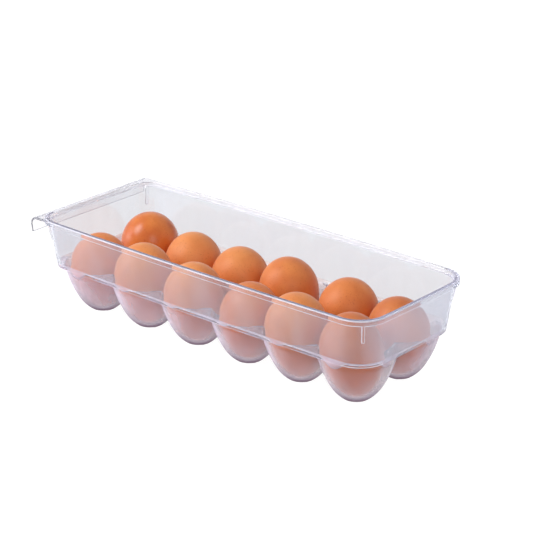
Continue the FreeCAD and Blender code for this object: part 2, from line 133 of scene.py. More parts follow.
def side_stations(direction):
    """Stations along a long side, broken where the cups' borders meet it."""
    low = -(DECK_OUTLINE.half_x - CORNER_LIP)
    high = DECK_OUTLINE.half_x - CORNER_FAR
    outermost = CUPS_PER_ROW // 2 - 1
    borders = [k * PITCH for k in range(-outermost, outermost + 1)]
    marks = [low] + borders + [high]
    if direction < 0:
        marks.reverse()
    return [x for a, b in zip(marks, marks[1:]) for x in run(a, b)]


def end_stations(corner, direction):
    """Stations along an end, broken at the middle."""
    reach = DECK_OUTLINE.half_y - corner
    marks = [-reach * direction, 0.0, reach * direction]
    return [y for a, b in zip(marks, marks[1:]) for y in run(a, b)]


def build_stations():
    """Every station anticlockwise from the lip end of the front side: kind, position along its run."""
    turn = [k / CORNER_STEPS for k in range(CORNER_STEPS)]
    stations = [("front", x) for x in side_stations(1)]
    stations += [("front_far", f) for f in turn]
    stations += [("far", y) for y in end_stations(CORNER_FAR, 1)]
    stations += [("back_far", f) for f in turn]
    stations += [("back", x) for x in side_stations(-1)]
    stations += [("back_lip", f) for f in turn]
    stations += [("lip", y) for y in end_stations(CORNER_LIP, -1)]
    stations += [("front_lip", f) for f in turn]
    return stations


STATIONS = build_stations()
# Each rounded corner: its side in x, its side in y, and the degrees at which its arc starts.
CORNERS = {
    "front_far": (1, -1, 270),
    "back_far": (1, 1, 0),
    "back_lip": (-1, 1, 90),
    "front_lip": (-1, -1, 180),
}


def plan_point(outline, station):
    """Where one station lies on one outline."""
    kind, place = station
    shrink = CORNER_FAR - outline.far
    if kind in CORNERS:
        sign_x, sign_y, start = CORNERS[kind]
        radius = outline.far if sign_x > 0 else outline.lip
        angle = math.radians(start + 90 * place)
        x = sign_x * (outline.half_x - radius) + radius * math.cos(angle)
        y = sign_y * (outline.half_y - radius) + radius * math.sin(angle)
    elif kind in ("front", "back"):
        corner = CORNER_FAR if place > 0 else CORNER_LIP
        x = place * (outline.half_x - corner + shrink) / (DECK_OUTLINE.half_x - corner)
        y = -outline.half_y if kind == "front" else outline.half_y
    else:
        corner = CORNER_FAR if kind == "far" else CORNER_LIP
        y = place * (outline.half_y - corner + shrink) / (DECK_OUTLINE.half_y - corner)
        x = outline.half_x if kind == "far" else -outline.half_x
    return outline.bowed(x, y)


def ring_plan(outline):
    """All stations on one outline, as plan points."""
    return np.array([plan_point(outline, station) for station in STATIONS])


# ---------------------------------------------------------------- cups
FOOT_RADIUS = 8.2                # outside, where the flat of the foot ends
FOOT_NARROWING = 0.3             # how much narrower the inside is there, as a share of the thickness
KNEE_RADIUS = 18.6               # outside, where the lower arc meets the upper one
KNEE_HEIGHT = 10.0
KNEE_LEAN = 32.0                 # degrees by which the surface leans out at the knee
MOUTH_RADIUS = 28.9              # outside, at the underside of the deck
MOUTH_NARROWING = 0.82
LOWER_ARC = 31.0
UPPER_ARC = 78.0
FOOT_ROUND = 0.8                 # rounding of the foot's rim
FOOT_STEP = 0.15                 # how far over the flat the rounding is centred
FOOT_FADE = 12.0                 # height over which the foot's rounding stops lifting the cup


class Bowl:
    """Height of a cup's surface over its radius: flat foot, two arcs, then straight on past the mouth."""

    def __init__(self, thickness):
        lean = math.radians(KNEE_LEAN)
        self.floor = thickness
        self.foot = (FOOT_RADIUS - FOOT_NARROWING * thickness, thickness)
        self.knee = (KNEE_RADIUS - thickness * math.cos(lean), KNEE_HEIGHT + thickness * math.sin(lean))
        self.mouth = (MOUTH_RADIUS - MOUTH_NARROWING * thickness, DECK + thickness)
        self.lower = self.arc(self.foot, self.knee, LOWER_ARC - thickness)
        self.upper = self.arc(self.knee, self.mouth, UPPER_ARC - thickness)
        self.lift = 0.0              # while it is zero, height() shows what the rounding adds at the foot
        self.lift = float(self.height(np.zeros(1))[0]) - thickness

    @staticmethod
    def arc(start, stop, radius):
        """Centre and radius of the arc that curves up from start to stop."""
        chord = (stop[0] - start[0], stop[1] - start[1])
        length = math.hypot(*chord)
        away = math.sqrt(radius ** 2 - (length / 2) ** 2) / length
        centre_x = (start[0] + stop[0]) / 2 - chord[1] * away
        centre_z = (start[1] + stop[1]) / 2 + chord[0] * away
        return centre_x, centre_z, radius

    def height(self, r):
        """Height at radius r, with the foot let down again by what its rounding lifts it."""
        r = np.asarray(r, float)
        heights = np.full(r.shape, self.floor)
        for (cx, cz, radius), (start, stop) in ((self.lower, (self.foot, self.knee)),
                                                (self.upper, (self.knee, self.mouth))):
            inside = (r > start[0]) & (r <= stop[0])
            heights[inside] = cz - np.sqrt(radius ** 2 - (r[inside] - cx) ** 2)
        cx, cz, radius = self.upper
        across = self.mouth[0] - cx
        slope = across / math.sqrt(radius ** 2 - across ** 2)
        beyond = r > self.mouth[0]
        heights[beyond] = self.mouth[1] + slope * (r[beyond] - self.mouth[0])
        rounded_foot = -soft_min(-heights, np.full(r.shape, -self.floor - FOOT_STEP), FOOT_ROUND)
        fade = np.clip(1 - (rounded_foot - self.floor - self.lift) / FOOT_FADE, 0, 1)
        return rounded_foot - self.lift * fade


def soft_min(a, b, width):
    """The lower of two heights, with the crease between them rounded over `width`."""
    share = np.clip(0.5 + 0.5 * (b - a) / width, 0, 1)
    return b + (a - b) * share - width * share * (1 - share)


def cup_centre(row_sign, place):
    """Plan point of a cup's axis; places count from the lip end."""
    return (place - (CUPS_PER_ROW - 1) / 2) * PITCH, row_sign * PITCH / 2


CUP_CENTRES = [cup_centre(sign, place) for sign in ROWS.values() for place in range(CUPS_PER_ROW)]
CUP_REACH = 45.0                 # further out a cup's slope is far above the deck
CREASE_UNDER = 1.6               # how far up the slope the cup edges are rounded, seen from below
CREASE_TOP = 4.5                 # the same from above


def deck_height(points, bowl):
    """Height of the deck with all its cups over plan points."""
    crease = CREASE_TOP if bowl.floor > 0 else CREASE_UNDER
    heights = np.full(len(points), bowl.mouth[1])
    for centre in CUP_CENTRES:
        radius = np.hypot(points[:, 0] - centre[0], points[:, 1] - centre[1])
        near = radius < CUP_REACH
        heights[near] = soft_min(heights[near], bowl.height(radius[near]), crease)
    return heights


BORDER_STEPS = 24                # steps of a straight border between two cups


def straight(start, stop):
    """The points of a straight border that lie between its ends."""
    return [start + (stop - start) * k / BORDER_STEPS for k in range(1, BORDER_STEPS)]


def station_index(kind, position):
    """Which station lies at this position along its run."""
    matches = [k for k, station in enumerate(STATIONS)
               if station[0] == kind and abs(station[1] - position) < 1e-6]
    return matches[0]


def cell_border(row_sign, place, border_plan):
    """The closed border of one cup's patch of deck, anticlockwise, as plan points.

    Inner borders are straight lines halfway to the next cup; the outer one is the bin's own outline."""
    low = (place - CUPS_PER_ROW / 2) * PITCH
    high = low + PITCH
    first = place == 0
    last = place == CUPS_PER_ROW - 1
    if row_sign < 0:
        start = station_index("lip", 0.0) if first else station_index("front", low)
        stop = station_index("far", 0.0) if last else station_index("front", high)
    else:
        start = station_index("far", 0.0) if last else station_index("back", high)
        stop = station_index("lip", 0.0) if first else station_index("back", low)
    count = len(STATIONS)
    if stop < start:
        stop += count
    loop = [border_plan[k % count] for k in range(start, stop + 1)]
    inner = [] if last else [np.array([high, 0.0])]
    inner += [] if first else [np.array([low, 0.0])]
    if row_sign > 0:
        inner.reverse()
    for corner in inner:
        loop += straight(loop[-1], corner) + [corner]
    loop += straight(loop[-1], loop[0])
    return np.array(loop)


# ---------------------------------------------------------------- meshes
# Which of the moulding's finishes a face takes; GLINT is a painted highlight, SHADE painted shade and
# PALE pale painted light.
WALL, CUP, FILLET, LIP, GLINT, SHADE, PALE = range(7)
MERGES_PER_MM = 2000             # vertices closer than about 1 / 2000 mm are merged


def by_run(finish_of, otherwise):
    """The finish at every station, looked up by the run or corner it is on."""
    return [finish_of.get(kind, otherwise) for kind, place in STATIONS]


class MeshMaker:
    """Collects vertices, merging the ones that coincide, and faces with the finish they take."""

    def __init__(self, finish=WALL):
        self.points = []
        self.lookup = {}
        self.faces = []
        self.finishes = []
        self.finish = finish

    def vertex(self, point):
        """The number of the vertex at a point, in millimetres."""
        key = tuple(round(value * MERGES_PER_MM) for value in point)
        if key not in self.lookup:
            self.lookup[key] = len(self.points)
            self.points.append(tuple(point))
        return self.lookup[key]

    def loop(self, plan, heights):
        """Vertices over plan points, at one height or at one for each."""
        heights = np.broadcast_to(heights, (len(plan),))
        return [self.vertex((x, y, z)) for (x, y), z in zip(plan, heights)]

    def face(self, corners, flip=False, finish=None):
        """One face; corners that coincide count once, and a face shrunk to a line is left out."""
        corners = list(dict.fromkeys(reversed(corners) if flip else corners))
        if len(corners) > 2:
            self.faces.append(corners)
            self.finishes.append(self.finish if finish is None else finish)

    def strip(self, low, high, flip=False, finishes=None):
        """Quads between two closed loops; anticlockwise loops going up face outward."""
        count = len(low)
        for k in range(count):
            after = (k + 1) % count
            finish = finishes[k] if finishes else None
            self.face((low[k], low[after], high[after], high[k]), flip, finish)

    def fan(self, middle, loop, flip=False):
        """Triangles from one vertex to a closed loop."""
        for k in range(len(loop)):
            self.face((middle, loop[k], loop[(k + 1) % len(loop)]), flip)

    def build(self, name):
        """The mesh as a smooth-shaded object in the shared frame."""
        mesh = bpy.data.meshes.new(name)
        mesh.from_pydata([Vector(p) * MM for p in self.points], [], self.faces)
        mesh.transform(Matrix.Translation((ORIGIN_SHIFT * MM, 0, 0)))
        mesh.polygons.foreach_set("use_smooth", [True] * len(mesh.polygons))
        mesh.polygons.foreach_set("material_index", self.finishes)
        mesh.update()
        piece = bpy.data.objects.new(name, mesh)
        bpy.context.scene.collection.objects.link(piece)
        return piece


BOWL_RINGS = 20
ISLAND_RINGS = 4                 # rings of deck between a cup's mouth and its border
PROFILE_SAMPLES = 400
EDGE_KEEP = 1.2                  # the last rings keep at least this much room before a border


def ring_shares(bowl):
    """Radii of the bowl rings as shares of the mouth radius, evenly spaced along the profile."""
    radii = np.linspace(0, bowl.mouth[0], PROFILE_SAMPLES)
    heights = bowl.height(radii)
    lengths = np.concatenate([[0], np.cumsum(np.hypot(np.diff(radii), np.diff(heights)))])
    wanted = np.linspace(0, lengths[-1], BOWL_RINGS + 1)[1:]
    return np.interp(wanted, lengths, radii) / bowl.mouth[0]


def add_cell(maker, bowl, centre, border, flip):
    """One cup with the patch of deck round it, as rings from the cup's axis out to the border."""
    arm = border - centre
    reach = np.hypot(arm[:, 0], arm[:, 1])
    unit = arm / reach[:, None]
    mouth = np.minimum(bowl.mouth[0], reach - EDGE_KEEP)
    radii = [share * mouth for share in ring_shares(bowl)]
    radii += [mouth + (reach - mouth) * (k + 1) / ISLAND_RINGS for k in range(ISLAND_RINGS - 1)]
    plans = [centre + unit * radius[:, None] for radius in radii] + [border]
    middle = maker.vertex((centre[0], centre[1], float(deck_height(centre[None], bowl)[0])))
    loops = [maker.loop(plan, deck_height(plan, bowl)) for plan in plans]
    maker.fan(middle, loops[0], flip)
    for inner, outer in zip(loops, loops[1:]):
        maker.strip(inner, outer, not flip)


def add_deck(maker, bowl, border_plan, flip):
    """One surface of the deck with its twelve cups."""
    for sign in ROWS.values():
        for place in range(CUPS_PER_ROW):
            centre = np.array(cup_centre(sign, place))
            add_cell(maker, bowl, centre, cell_border(sign, place, border_plan), flip)


# ---------------------------------------------------------------- the moulding
def rounded(start, corner, stop, radius, steps=4):
    """Points of a small curve that rounds `corner` between the directions to start and stop."""
    start, corner, stop = (np.array(p, float) for p in (start, corner, stop))
    to_start = (start - corner) / np.linalg.norm(start - corner)
    to_stop = (stop - corner) / np.linalg.norm(stop - corner)
    a = corner + to_start * radius
    b = corner + to_stop * radius
    points = []
    for k in range(steps + 1):
        share = k / steps
        points.append((1 - share) ** 2 * a + 2 * share * (1 - share) * corner + share ** 2 * b)
    return points


FOOT_FILLET = 0.6                # outside, where the wall meets the deck
INNER_FILLET = 2.0
FILLET_STEPS = 6
LEDGE_GLINT = 0.7                # painted highlight: a bright band round the far corners just above the wall's foot
WALL_STEPS = 9
FLANGE_NOOK = 0.4                # rounding between wall and flange
FLANGE_EDGE = 0.35               # rounding of the flange's lower outer edge
RIM_ROUND = 0.7                  # rounding of its upper outer edge
RIM_INNER_ROUND = 0.5            # rounding of the wall's upper inner edge
RIM_OUTLINE_FROM = 0.5           # further out than this, levels follow the rim's outline
TOP_RING = 0.6                   # where a ring of the flat top lies, just outside that
FLANGE_LEVEL = TOTAL_HEIGHT - FLANGE_DEPTH


def fillet(maker, border, bowl, inset, radius, flip, finishes):
    """The rounding from the deck's border up into the wall: returns its last loop and level."""
    base = deck_height(border, bowl)
    top = bowl.mouth[1] + radius
    previous = maker.loop(border, base)
    for k in range(1, FILLET_STEPS + 1):
        angle = math.radians(90 / FILLET_STEPS * k)
        plan = ring_plan(wall_outline(DECK, inset + radius * (1 - math.sin(angle))))
        loop = maker.loop(plan, base + (top - base) * (1 - math.cos(angle)))
        maker.strip(previous, loop, flip, finishes)
        previous = loop
    return previous, top


def raise_wall(maker, loop, inset, levels, flip):
    """A wall surface from a loop up through the levels."""
    for level in levels:
        above = maker.loop(ring_plan(wall_outline(level, inset)), level)
        maker.strip(loop, above, flip)
        loop = above
    return loop


def rim_bands():
    """The section of the rim from the wall out, over and in again: finish, (reach, level) points."""
    low = FLANGE_LEVEL
    edge = FLANGE_REACH
    top = TOTAL_HEIGHT
    # the GLINT bands are painted highlights on the flange's lower edge and the rim's upper outer edge
    return [
        (WALL, rounded((0, low - 1), (0, low), (1, low), FLANGE_NOOK)[1:]),
        (GLINT, rounded((1, low), (edge, low), (edge, low + 1), FLANGE_EDGE)),
        (WALL, [(edge, top - RIM_ROUND)]),
        (GLINT, rounded((edge, top - 2), (edge, top), (-1, top), RIM_ROUND, 7)[1:]),
        (WALL, [(TOP_RING, top)]),
        # painted shade: a dark line along the wall's upper inner edge
        (SHADE, rounded((0, top), (-SKIN, top), (-SKIN, top - 1), RIM_INNER_ROUND, 5)),
    ]


def add_rim(maker, loop):
    """The flange and the top edge, upward from the last loop of the outer wall."""
    for finish, points in rim_bands():
        # along the back and the lip end every band takes pale painted light in place of the painted
        # highlight and shade
        finishes = by_run({"back": PALE, "back_lip": PALE, "lip": PALE}, finish)
        for reach, level in points:
            on_rim = reach > RIM_OUTLINE_FROM
            outline = rim_outline(reach) if on_rim else wall_outline(level, -reach)
            above = maker.loop(ring_plan(outline), level)
            maker.strip(loop, above, finishes=finishes)
            loop = above
    return loop


def build_bin():
    """The whole bin as one closed skin: deck and cups, wall, and the rim with its flange."""
    maker = MeshMaker(CUP)
    outer_border = ring_plan(wall_outline(DECK, FOOT_FILLET))
    inner_border = ring_plan(wall_outline(DECK, SKIN + INNER_FILLET))
    lower = Bowl(0.0)
    upper = Bowl(SKIN)
    add_deck(maker, lower, outer_border, flip=True)
    add_deck(maker, upper, inner_border, flip=False)
    maker.finish = WALL

    # round the wall's foot: haze along the front, pale painted light along the back, painted shade round
    # the corners and ends
    outer_foot = by_run({"front": FILLET, "back": PALE}, SHADE)
    outside, low = fillet(maker, outer_border, lower, 0.0, FOOT_FILLET, False, outer_foot)
    low += LEDGE_GLINT
    above = maker.loop(ring_plan(wall_outline(low)), low)
    # painted highlight on the ledge round the two far corners
    maker.strip(outside, above, finishes=by_run({"front_far": GLINT, "back_far": GLINT}, WALL))
    levels = np.linspace(low, FLANGE_LEVEL - FLANGE_NOOK, WALL_STEPS)[1:]
    outside = raise_wall(maker, above, 0.0, levels, flip=False)
    outside = add_rim(maker, outside)

    # inside the foot: haze at the front and the far end, pale painted light along the back and the lip
    # end
    hazy_runs = ("front", "front_lip", "front_far", "far")
    inner_foot = by_run(dict.fromkeys(hazy_runs, FILLET), PALE)
    inside, low = fillet(maker, inner_border, upper, SKIN, INNER_FILLET, True, inner_foot)
    levels = np.linspace(low, TOTAL_HEIGHT - RIM_INNER_ROUND, WALL_STEPS)[1:-1]
    inside = raise_wall(maker, inside, SKIN, levels, flip=True)
    maker.strip(inside, outside, flip=True)
    return maker.build("tray_moulding")


LIP_EDGE_ROUND = 0.45            # rounding of the lip's two cut ends
LIP_BEND_INSET = 0.6             # the evenly spaced stops of the bend end this far before them
LIP_SINK = 0.02                  # keeps the web's top just under the rim's
LIP_STRAIGHT_STEPS = 6
LIP_BEND_STEPS = 14
CURL_STEPS = 11
TIP_STEPS = 6
LIP_WALL_X = -(HALF_LENGTH - FLANGE_REACH + END_BOW) + SKIN / 2
LIP_CORNER_X = LIP_WALL_X + END_BOW + CORNER_LIP
LIP_CORNER_Y = rim_outline(0.0).half_y - CORNER_LIP
CURL_X = -LIP_OUTER + LIP_CURL
CURL_Z = TOTAL_HEIGHT - LIP_CURL


def lip_root_x(y):
    """Where the web meets the middle of the wall's thickness."""
    over = abs(y) - LIP_CORNER_Y
    if over <= 0:
        return LIP_WALL_X
    reach = CORNER_LIP - SKIN / 2
    if over >= reach:
        return LIP_CORNER_X
    return LIP_CORNER_X - reach * math.sqrt(1 - (over / reach) ** 2)


def arc_points(x, z, radius, angles):
    """Points (x, z) of an arc round (x, z)."""
    return [(x + radius * math.cos(angle), z + radius * math.sin(angle)) for angle in angles]


def lip_section(y, shrink):
    """The J outline at one place, made smaller by `shrink` for the rounded ends."""
    tuck = math.radians(LIP_TUCK)
    half = SKIN / 2
    leg = (LIP_DROP - LIP_CURL - LIP_CURL * math.sin(tuck)) / math.cos(tuck) - half
    middle = LIP_CURL - half
    tip_x = CURL_X - middle * math.cos(tuck) + leg * math.sin(tuck)
    tip_z = CURL_Z - middle * math.sin(tuck) - leg * math.cos(tuck)
    turns = [math.radians(90 + (90 + LIP_TUCK) * k / CURL_STEPS) for k in range(CURL_STEPS + 1)]
    tip_turns = [math.radians(180 + LIP_TUCK + 180 / TIP_STEPS * k) for k in range(TIP_STEPS + 1)]
    points = [(lip_root_x(y), TOTAL_HEIGHT - LIP_SINK - shrink)]
    points += arc_points(CURL_X, CURL_Z - LIP_SINK, LIP_CURL - shrink, turns)
    points += arc_points(tip_x, tip_z, half - shrink, tip_turns)
    points += arc_points(CURL_X, CURL_Z, LIP_CURL - SKIN + shrink, reversed(turns))
    points.append((lip_root_x(y), TOTAL_HEIGHT - SKIN + shrink))
    return points


def lip_stops():
    """Places across the tray at which the lip's outline is set, closer where it bends or is rounded."""
    bend_end = HALF_WIDTH - LIP_BEND_INSET
    across = bend_end - LIP_CORNER_Y
    stops = [LIP_CORNER_Y * k / LIP_STRAIGHT_STEPS for k in range(LIP_STRAIGHT_STEPS + 1)]
    stops += [LIP_CORNER_Y + across * k / LIP_BEND_STEPS for k in range(1, LIP_BEND_STEPS)]
    stops += [HALF_WIDTH - LIP_EDGE_ROUND * (1 - math.sin(math.radians(a))) for a in (0, 30, 60, 90)]
    stops.sort()
    return [-y for y in reversed(stops) if y > 0] + stops


def build_lip():
    """The pull lip: a flat web over the rounded corners, rolled down into a curl, cut square."""
    maker = MeshMaker(LIP)
    loops = []
    for y in lip_stops():
        over = max(0.0, abs(y) - (HALF_WIDTH - LIP_EDGE_ROUND))
        shrink = LIP_EDGE_ROUND - math.sqrt(max(0.0, LIP_EDGE_ROUND ** 2 - over ** 2))
        loops.append([maker.vertex((x, y, z)) for x, z in lip_section(y, shrink)])
    for low, high in zip(loops, loops[1:]):
        maker.strip(low, high, flip=True)
    last = len(loops[0]) - 1
    for loop, flip in ((loops[0], False), (loops[-1], True)):
        for k in range(last // 2):
            maker.face((loop[k], loop[k + 1], loop[last - 1 - k], loop[last - k]), flip)
    return maker.build("lip")


RIB_PLACE = 0.5                  # halfway round its corner
RIB_SINK = 0.5                   # how far its top reaches into the flange
RIB_ROOT = 0.8                   # how far it reaches into the wall
RIB_EDGE = 0.5                   # slant of its two outer edges
RIB_FOOT_REACH = 0.5             # how far its foot stands out
RIB_FOOT_FLARE = 0.4             # added to that just above the foot
RIB_FOOT_TAPER = 0.3             # by which half its width is less at the foot
RIB_FOOT_LEVELS = (0.0, 0.25, 0.8)
RIB_FACE = 2                     # the side of its outline that faces out


def rib_loop(maker, kind, level, foot):
    """The outline of a rib at one level."""
    angle = math.radians(CORNERS[kind][2] + 90 * RIB_PLACE)
    along = Vector((math.cos(angle), math.sin(angle), 0))
    across = Vector((-along.y, along.x, 0))
    centre = plan_point(wall_outline(level), (kind, RIB_PLACE))
    flare = 0.0 if level == foot else RIB_FOOT_FLARE
    taper = RIB_FOOT_TAPER if level == foot else 0.0
    share = (level - foot) / RIB_HEIGHT
    reach = RIB_FOOT_REACH + (RIB_REACH - RIB_FOOT_REACH - RIB_FOOT_FLARE) * share + flare
    half = RIB_WIDTH / 2 - taper
    corners = [(-RIB_ROOT, -half), (reach - RIB_EDGE, -half), (reach, -half + RIB_EDGE),
               (reach, half - RIB_EDGE), (reach - RIB_EDGE, half), (-RIB_ROOT, half)]
    middle = Vector((centre[0], centre[1], level))
    return [maker.vertex(tuple(middle + along * out + across * side)) for out, side in corners]


def build_rib(kind):
    """One upright nesting rib on a corner, slanted at its edges and closed off at its foot."""
    far_side = CORNERS[kind][0] > 0
    # the far ribs carry a painted highlight, the others pale painted light
    maker = MeshMaker(GLINT if far_side else PALE)
    foot = FLANGE_LEVEL - RIB_HEIGHT
    levels = [foot + rise for rise in RIB_FOOT_LEVELS] + [FLANGE_LEVEL + RIB_SINK]
    loops = [rib_loop(maker, kind, level, foot) for level in levels]
    for low, high in zip(loops, loops[1:]):
        finishes = [None] * len(low)
        if high is loops[-1]:
            finishes[RIB_FACE] = WALL
        maker.strip(low, high, finishes=finishes)
    maker.face(loops[0], flip=True)
    maker.face(loops[-1])
    return maker.build(f"rib_{kind}")


def joined(base, others):
    """Unite closed skins into one, so that no inner faces are left between them."""
    for other in others:
        modifier = base.modifiers.new("unite", "BOOLEAN")
        modifier.operation = "UNION"
        modifier.solver = "MANIFOLD"
        modifier.object = other
        bpy.context.view_layer.update()
        evaluated = base.evaluated_get(bpy.context.evaluated_depsgraph_get())
        mesh = bpy.data.meshes.new_from_object(evaluated)
        base.modifiers.clear()
        base.data = mesh
        bpy.data.objects.remove(other)
    return base


# ---------------------------------------------------------------- material nodes
def srgb(red, green, blue):
    """Linear colour from 0-255 display values."""
    channels = [value / 255 for value in (red, green, blue)]
    return (*[c / 12.92 if c <= 0.04045 else ((c + 0.055) / 1.055) ** 2.4 for c in channels], 1.0)


def new_material(name):
    """A node material: returns it with its Principled shader, a helper that adds nodes, and the links."""
    material = bpy.data.materials.new(name)
    material.use_nodes = True
    nodes = material.node_tree.nodes
    links = material.node_tree.links
    shader = nodes["Principled BSDF"]

    def add(kind, inputs=None, **settings):
        """Add a node: inputs that are sockets are linked, the others are set."""
        node = nodes.new(kind)
        for key, value in settings.items():
            setattr(node, key, value)
        for key, value in (inputs or {}).items():
            if isinstance(value, bpy.types.NodeSocket):
                links.new(value, node.inputs[key])
            else:
                node.inputs[key].default_value = value
        return node

    return material, shader, add, links


def set_inputs(shader, values):
    """Set sockets of a shader by name."""
    for key, value in values.items():
        shader.inputs[key].default_value = value


def noise(add, where, scale, detail):
    """A cloudy value from 0 to 1 over the object."""
    return add("ShaderNodeTexNoise", {"Vector": where, "Scale": scale, "Detail": detail}).outputs["Fac"]


def ramp(add, value, span, result=(0.0, 1.0)):
    """A value mapped from one span onto another and held at both ends."""
    return add("ShaderNodeMapRange", {"Value": value, "From Min": span[0], "From Max": span[1],
                                      "To Min": result[0], "To Max": result[1]}).outputs["Result"]


def maths(add, operation, a, b):
    """A Math node over two values."""
    return add("ShaderNodeMath", {0: a, 1: b}, operation=operation).outputs[0]


def blend(add, factor, a, b):
    """A colour between two others."""
    return add("ShaderNodeMix", {"Factor": factor, "A": a, "B": b}, data_type="RGBA").outputs["Result"]


def bump(add, shader, links, height, strength, distance):
    """Relief on the shader's normal; `distance` is in metres."""
    relief = add("ShaderNodeBump", {"Height": height, "Strength": strength, "Distance": distance})
    links.new(relief.outputs["Normal"], shader.inputs["Normal"])


# ---------------------------------------------------------------- clear plastic
PLASTIC_IOR = 1.49
RIPPLE_SCALE = 55.0
RIPPLE_STRENGTH = 0.04
RIPPLE_DEPTH = 0.002             # metres
STREAK_STRETCH = (1.0, 1.0, 0.35)
CLOUD_SPAN = (0.3, 0.7)          # the middle of the noise, stretched over the whole mottling
FOOT_SHADE_SLANTS = (0.35, 0.66)         # slants between which the painted shade at the cups' edges comes in
FOOT_SHADE_HEIGHTS = (1 * MM, 21 * MM)
FOOT_SHADE_AMOUNTS = (1.0, 0.25)       # and how much of that painted shade there is at those heights
SHADOW_TINT = (0.78, 0.77, 0.82, 1)
BROAD = (0.1, 0.6)               # slants between which the haze grows
STEEP = (0.24, 0.74)
SMOOTH = (45.0, 0.6, 1.45)       # grain, and least and most of the haze's mottling
BLOTCHY = (110.0, 0.5, 1.5)


def haze_share(add, where, facing, haze, slants, mottle, veils):
    """How much of the plastic is haze: by slant, mottled, and with veils along the object's axes."""
    share = ramp(add, facing, slants, haze)
    axes = add("ShaderNodeSeparateXYZ", {"Vector": where}).outputs
    streaks = add("ShaderNodeMapping", {"Vector": where, "Scale": STREAK_STRETCH}).outputs["Vector"]
    grain, least, most = mottle
    patchy = ramp(add, noise(add, streaks, grain, detail=3.0), CLOUD_SPAN, (least, most))
    share = maths(add, "MULTIPLY", share, patchy)
    for axis, start, stop, amount in veils:
        veil = ramp(add, axes[axis], (start * MM, stop * MM), (0.0, amount))
        share = maths(add, "ADD", share, veil)
    return share, axes


def clear_plastic(name, tint, haze, roughness, mist, foot_shade_colour=None, slants=BROAD, veils=(),
                  mottle=SMOOTH):
    """Clear moulded plastic: glass with a haze in it, seen thicker edge on.

    `haze` gives the share of haze face on and edge on, `slants` the two slants between which it grows,
    `mist` its colour and `foot_shade_colour` the dark colour of a painted shade along its edges low down.
    Each veil (axis, from, to, amount) adds haze along an axis, and `mottle` is the grain of the haze with
    the least and the most of it.
    Lamps shine through onto what stands behind."""
    material, shader, add, links = new_material(name)
    set_inputs(shader, {"Base Color": tint, "Roughness": roughness, "IOR": PLASTIC_IOR,
                        "Transmission Weight": 1.0})
    where = add("ShaderNodeTexCoord").outputs["Object"]
    ripple = noise(add, where, RIPPLE_SCALE, detail=2.0)
    bump(add, shader, links, ripple, RIPPLE_STRENGTH, RIPPLE_DEPTH)
    facing = add("ShaderNodeLayerWeight", {"Blend": 0.5}).outputs["Facing"]
    share, axes = haze_share(add, where, facing, haze, slants, mottle, veils)
    fog = add("ShaderNodeBsdfDiffuse", {"Color": mist})
    # painted shade: a dark colour laid over the haze where the cups are seen edge on, most of it low down
    # by the foot
    if foot_shade_colour:
        edge = ramp(add, facing, FOOT_SHADE_SLANTS)
        low = ramp(add, axes["Z"], FOOT_SHADE_HEIGHTS, FOOT_SHADE_AMOUNTS)
        dark = maths(add, "MULTIPLY", edge, low)
        share = maths(add, "MAXIMUM", share, dark)
        links.new(blend(add, dark, mist, foot_shade_colour), fog.inputs["Color"])
    veiled = add("ShaderNodeMixShader", {0: share, 1: shader.outputs["BSDF"], 2: fog.outputs["BSDF"]})
    through = add("ShaderNodeBsdfTransparent", {"Color": SHADOW_TINT})
    shadow = add("ShaderNodeLightPath").outputs["Is Shadow Ray"]
    mix = add("ShaderNodeMixShader", {0: shadow, 1: veiled.outputs["Shader"], 2: through.outputs["BSDF"]})
    output = material.node_tree.nodes["Material Output"]
    links.new(mix.outputs["Shader"], output.inputs["Surface"])
    return material


def wall_plastic():
    """The walls: nearly clear, hazier in the far end wall."""
    far_end = ("X", 149, 156, 0.11)
    return clear_plastic("clear_plastic", tint=(0.76, 0.77, 0.79, 1), haze=(0.04, 0.15), roughness=0.05,
                         mist=(0.76, 0.79, 0.92, 1), veils=(far_end,))


CUP_MIST = (0.78, 0.7, 0.83, 1)


def cup_plastic():
    """The cups: lavender haze, blotchy, with painted shade round the foot where they are seen edge on."""
    below_deck = ("Z", 31, 37, -0.2)
    toward_lip = ("X", 110, -130, 0.2)
    back_row = ("Y", 0, 40, 0.2)
    return clear_plastic("cup_plastic", tint=(0.795, 0.735, 0.73, 1), haze=(0.02, 0.39), roughness=0.2,
                         mist=CUP_MIST, foot_shade_colour=(0.14, 0.08, 0.12, 1), slants=STEEP,
                         veils=(below_deck, toward_lip, back_row), mottle=BLOTCHY)


def fillet_plastic():
    """The hazy band where the wall runs into the deck."""
    return clear_plastic("fillet_plastic", tint=(0.78, 0.76, 0.79, 1), haze=(0.45, 0.5), roughness=0.2,
                         mist=CUP_MIST)


def lip_plastic():
    """The pull lip: almost without tint."""
    return clear_plastic("lip_plastic", tint=(0.98, 0.98, 0.985, 1), haze=(0.0, 0.12), roughness=0.05,
                         mist=(0.8, 0.8, 0.86, 1))


def edge_glint():
    """Painted highlight on the bright edges: the flange, the ledge round the far corners, the far ribs.
    """
    return clear_plastic("edge_glint", tint=(0.95, 0.95, 0.97, 1), haze=(0.6, 0.7), roughness=0.1,
                         mist=(0.78, 0.77, 0.84, 1))


def edge_shade():
    """Painted shade along the dark edges: the top edge inside, the foot of the wall round the corners and
    the ends.
    """
    return clear_plastic("edge_shade", tint=(0.7, 0.69, 0.75, 1), haze=(0.16, 0.26), roughness=0.1,
                         mist=(0.23, 0.21, 0.26, 1))


def rim_pale_painted_light():
    """Pale painted light on the edges, mostly along the back and the lip end."""
    return clear_plastic("rim_pale_painted_light", tint=(0.95, 0.95, 0.96, 1), haze=(0.5, 0.6), roughness=0.1,
                         mist=(0.9, 0.9, 0.9, 1))


